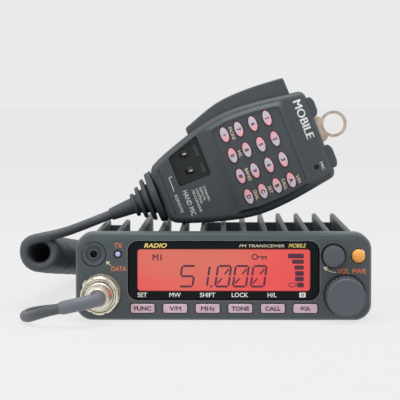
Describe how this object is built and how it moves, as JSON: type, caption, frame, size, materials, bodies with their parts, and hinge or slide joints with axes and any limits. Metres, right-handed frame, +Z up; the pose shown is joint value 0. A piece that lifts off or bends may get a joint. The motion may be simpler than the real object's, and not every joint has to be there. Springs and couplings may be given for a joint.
{
  "type": "mobile transceiver",
  "caption": "Compact vehicle radio with a finned heat-sink case, lit display, knobs and keys, and a keypad hand microphone on a curly cord resting on its fins.",
  "frame": {"origin": "middle of the flat underside, on the surface that the radio stands on", "axes": "+X to the right of the front panel, +Y from the front panel to the rear sockets, +Z up"},
  "size_m": [0.1741, 0.3, 0.117],
  "materials": {
    "case_paint": "fine matt dark green-grey paint on cast aluminium and steel",
    "panel_plastic": "satin dark slate moulding",
    "window_plastic": "polished near-black window",
    "lcd_face": "backlit red-orange display",
    "key_plastic": "pale lilac translucent keys",
    "power_plastic": "amber button",
    "knob_plastic": "satin dark grey, moulded grips",
    "lamp_lens": "clear pale lens",
    "black_plastic": "black moulding",
    "nickel_plate": "nickel plate on brass",
    "ring_steel": "plated steel plate",
    "cord_rubber": "smooth dark grey cord jacket",
    "mic_plastic": "fine grained dark slate moulding",
    "mic_key_plastic": "pale pink silicone keys",
    "circuit_board": "green circuit board"
  },
  "bodies": {
    "root": {"chassis": "case_paint", "bottom_cover": "case_paint", "front_panel": "panel_plastic", "display_window": "window_plastic", "lcd_panel": "lcd_face", "volume_pot": "black_plastic", "tuning_encoder": "black_plastic", "tx_lamp": "lamp_lens", "data_jack": "black_plastic", "mic_socket": "nickel_plate", "display_board": "circuit_board", "main_board": "circuit_board", "power_module": "black_plastic", "speaker": "black_plastic", "antenna_socket": "nickel_plate", "dc_inlet": "black_plastic", "speaker_jack": "black_plastic", "plug_shell": "nickel_plate", "plug_sleeve": "cord_rubber", "cord_lead": "cord_rubber", "cord_coil": "cord_rubber", "cord_tail": "cord_rubber"},
    "plug_ring": {"plug_ring": "nickel_plate"},
    "volume_knob": {"volume_knob": "knob_plastic"},
    "tuning_knob": {"tuning_knob": "knob_plastic"},
    "power_button": {"power_button": "power_plastic"},
    "function_key_1": {"function_key_1": "key_plastic"},
    "function_key_2": {"function_key_2": "key_plastic"},
    "function_key_3": {"function_key_3": "key_plastic"},
    "function_key_4": {"function_key_4": "key_plastic"},
    "function_key_5": {"function_key_5": "key_plastic"},
    "function_key_6": {"function_key_6": "key_plastic"},
    "microphone": {"mic_front_case": "mic_plastic", "mic_back_case": "mic_plastic", "hanger_ring": "ring_steel", "mic_element": "black_plastic", "mic_board": "circuit_board", "cord_boot": "cord_rubber"},
    "mic_key_1": {"mic_key_1": "mic_key_plastic"},
    "mic_key_2": {"mic_key_2": "mic_key_plastic"},
    "mic_key_3": {"mic_key_3": "mic_key_plastic"},
    "mic_key_a": {"mic_key_a": "mic_key_plastic"},
    "mic_key_4": {"mic_key_4": "mic_key_plastic"},
    "mic_key_5": {"mic_key_5": "mic_key_plastic"},
    "mic_key_6": {"mic_key_6": "mic_key_plastic"},
    "mic_key_b": {"mic_key_b": "mic_key_plastic"},
    "mic_key_7": {"mic_key_7": "mic_key_plastic"},
    "mic_key_8": {"mic_key_8": "mic_key_plastic"},
    "mic_key_9": {"mic_key_9": "mic_key_plastic"},
    "mic_key_c": {"mic_key_c": "mic_key_plastic"},
    "mic_key_star": {"mic_key_star": "mic_key_plastic"},
    "mic_key_0": {"mic_key_0": "mic_key_plastic"},
    "mic_key_hash": {"mic_key_hash": "mic_key_plastic"},
    "mic_key_d": {"mic_key_d": "mic_key_plastic"},
    "ptt_bar": {"ptt_bar": "mic_plastic"},
    "up_button": {"up_button": "mic_plastic"},
    "down_button": {"down_button": "mic_plastic"},
    "lock_switch": {"lock_switch": "black_plastic"},
    "mode_switch": {"mode_switch": "black_plastic"}
  },
  "joints": [
    {"name": "mic_lift", "type": "slide", "parent": "root", "child": "microphone", "axis": [0, 0, 1], "range_m": [0, 0.1]},
    {"name": "plug_ring_turn", "type": "hinge", "parent": "root", "child": "plug_ring", "pos_m": [-0.059, -0.092, 0.0126], "axis": [0, 1, 0], "continuous": true},
    {"name": "volume_turn", "type": "hinge", "parent": "root", "child": "volume_knob", "pos_m": [0.0527, -0.09, 0.0311], "axis": [0, 1, 0], "range_deg": [-150, 150]},
    {"name": "tuning_turn", "type": "hinge", "parent": "root", "child": "tuning_knob", "pos_m": [0.0581, -0.09, 0.0124], "axis": [0, 1, 0], "continuous": true},
    {"name": "power_press", "type": "slide", "parent": "root", "child": "power_button", "axis": [0, 1, 0], "range_m": [0, 0.0008], "stiffness_N_per_m": 600, "springref_m": -0.0005},
    {"name": "function_key_1_press", "type": "slide", "parent": "root", "child": "function_key_1", "axis": [0, 1, 0], "range_m": [0, 0.0008], "stiffness_N_per_m": 600, "springref_m": -0.0005},
    {"name": "function_key_2_press", "type": "slide", "parent": "root", "child": "function_key_2", "axis": [0, 1, 0], "range_m": [0, 0.0008], "stiffness_N_per_m": 600, "springref_m": -0.0005},
    {"name": "function_key_3_press", "type": "slide", "parent": "root", "child": "function_key_3", "axis": [0, 1, 0], "range_m": [0, 0.0008], "stiffness_N_per_m": 600, "springref_m": -0.0005},
    {"name": "function_key_4_press", "type": "slide", "parent": "root", "child": "function_key_4", "axis": [0, 1, 0], "range_m": [0, 0.0008], "stiffness_N_per_m": 600, "springref_m": -0.0005},
    {"name": "function_key_5_press", "type": "slide", "parent": "root", "child": "function_key_5", "axis": [0, 1, 0], "range_m": [0, 0.0008], "stiffness_N_per_m": 600, "springref_m": -0.0005},
    {"name": "function_key_6_press", "type": "slide", "parent": "root", "child": "function_key_6", "axis": [0, 1, 0], "range_m": [0, 0.0008], "stiffness_N_per_m": 600, "springref_m": -0.0005},
    {"name": "mic_key_1_press", "type": "slide", "parent": "microphone", "child": "mic_key_1", "axis": [0, 1, 0], "range_m": [0, 0.0008], "stiffness_N_per_m": 600, "springref_m": -0.0005},
    {"name": "mic_key_2_press", "type": "slide", "parent": "microphone", "child": "mic_key_2", "axis": [0, 1, 0], "range_m": [0, 0.0008], "stiffness_N_per_m": 600, "springref_m": -0.0005},
    {"name": "mic_key_3_press", "type": "slide", "parent": "microphone", "child": "mic_key_3", "axis": [0, 1, 0], "range_m": [0, 0.0008], "stiffness_N_per_m": 600, "springref_m": -0.0005},
    {"name": "mic_key_a_press", "type": "slide", "parent": "microphone", "child": "mic_key_a", "axis": [0, 1, 0], "range_m": [0, 0.0008], "stiffness_N_per_m": 600, "springref_m": -0.0005},
    {"name": "mic_key_4_press", "type": "slide", "parent": "microphone", "child": "mic_key_4", "axis": [0, 1, 0], "range_m": [0, 0.0008], "stiffness_N_per_m": 600, "springref_m": -0.0005},
    {"name": "mic_key_5_press", "type": "slide", "parent": "microphone", "child": "mic_key_5", "axis": [0, 1, 0], "range_m": [0, 0.0008], "stiffness_N_per_m": 600, "springref_m": -0.0005},
    {"name": "mic_key_6_press", "type": "slide", "parent": "microphone", "child": "mic_key_6", "axis": [0, 1, 0], "range_m": [0, 0.0008], "stiffness_N_per_m": 600, "springref_m": -0.0005},
    {"name": "mic_key_b_press", "type": "slide", "parent": "microphone", "child": "mic_key_b", "axis": [0, 1, 0], "range_m": [0, 0.0008], "stiffness_N_per_m": 600, "springref_m": -0.0005},
    {"name": "mic_key_7_press", "type": "slide", "parent": "microphone", "child": "mic_key_7", "axis": [0, 1, 0], "range_m": [0, 0.0008], "stiffness_N_per_m": 600, "springref_m": -0.0005},
    {"name": "mic_key_8_press", "type": "slide", "parent": "microphone", "child": "mic_key_8", "axis": [0, 1, 0], "range_m": [0, 0.0008], "stiffness_N_per_m": 600, "springref_m": -0.0005},
    {"name": "mic_key_9_press", "type": "slide", "parent": "microphone", "child": "mic_key_9", "axis": [0, 1, 0], "range_m": [0, 0.0008], "stiffness_N_per_m": 600, "springref_m": -0.0005},
    {"name": "mic_key_c_press", "type": "slide", "parent": "microphone", "child": "mic_key_c", "axis": [0, 1, 0], "range_m": [0, 0.0008], "stiffness_N_per_m": 600, "springref_m": -0.0005},
    {"name": "mic_key_star_press", "type": "slide", "parent": "microphone", "child": "mic_key_star", "axis": [0, 1, 0], "range_m": [0, 0.0008], "stiffness_N_per_m": 600, "springref_m": -0.0005},
    {"name": "mic_key_0_press", "type": "slide", "parent": "microphone", "child": "mic_key_0", "axis": [0, 1, 0], "range_m": [0, 0.0008], "stiffness_N_per_m": 600, "springref_m": -0.0005},
    {"name": "mic_key_hash_press", "type": "slide", "parent": "microphone", "child": "mic_key_hash", "axis": [0, 1, 0], "range_m": [0, 0.0008], "stiffness_N_per_m": 600, "springref_m": -0.0005},
    {"name": "mic_key_d_press", "type": "slide", "parent": "microphone", "child": "mic_key_d", "axis": [0, 1, 0], "range_m": [0, 0.0008], "stiffness_N_per_m": 600, "springref_m": -0.0005},
    {"name": "ptt_press", "type": "hinge", "parent": "microphone", "child": "ptt_bar", "pos_m": [-0.01688, -0.00605, 0.08754], "axis": [0, 1, 0], "range_deg": [0, 2.4], "stiffness_Nm_per_rad": 1.5, "springref_deg": -0.69},
    {"name": "up_press", "type": "slide", "parent": "microphone", "child": "up_button", "axis": [-0.9304, 0, -0.3665], "range_m": [0, 0.001], "stiffness_N_per_m": 600, "springref_m": -0.0005},
    {"name": "down_press", "type": "slide", "parent": "microphone", "child": "down_button", "axis": [-0.9304, 0, -0.3665], "range_m": [0, 0.001], "stiffness_N_per_m": 600, "springref_m": -0.0005},
    {"name": "lock_slide", "type": "slide", "parent": "microphone", "child": "lock_switch", "axis": [-0.9304, 0, -0.3665], "range_m": [0, 0.002]},
    {"name": "mode_slide", "type": "slide", "parent": "microphone", "child": "mode_switch", "axis": [-0.9304, 0, -0.3665], "range_m": [0, 0.002]}
  ]
}
